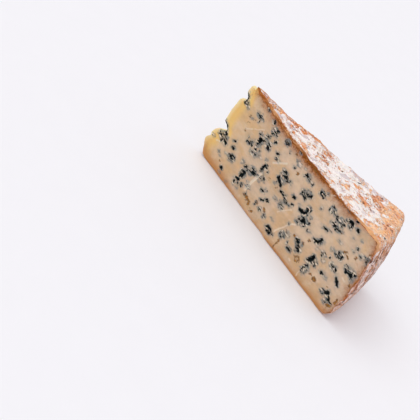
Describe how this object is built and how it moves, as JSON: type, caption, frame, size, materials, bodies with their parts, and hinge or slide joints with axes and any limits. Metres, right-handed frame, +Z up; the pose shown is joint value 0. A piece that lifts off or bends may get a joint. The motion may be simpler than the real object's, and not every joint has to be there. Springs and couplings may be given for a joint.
{
  "type": "blue cheese wedge",
  "caption": "Wedge of blue cheese cut from a low wide wheel, with mould pockets in both cut faces, a broken tip and a bloomed natural rind.",
  "frame": {"origin": "centre of the bounding box, on the flat lower rind that the wedge stands on", "axes": "+X from the broken tip to the rind of the rim, -Y out of the front cut face, +Z up along the wheel's axis"},
  "size_m": [0.1914, 0.079, 0.0861],
  "materials": {
    "cheese": "moist cream paste with blue-black mould pockets, orange rind under white bloom"
  },
  "bodies": {
    "root": {"cheese_wedge": "cheese"}
  },
  "joints": []
}
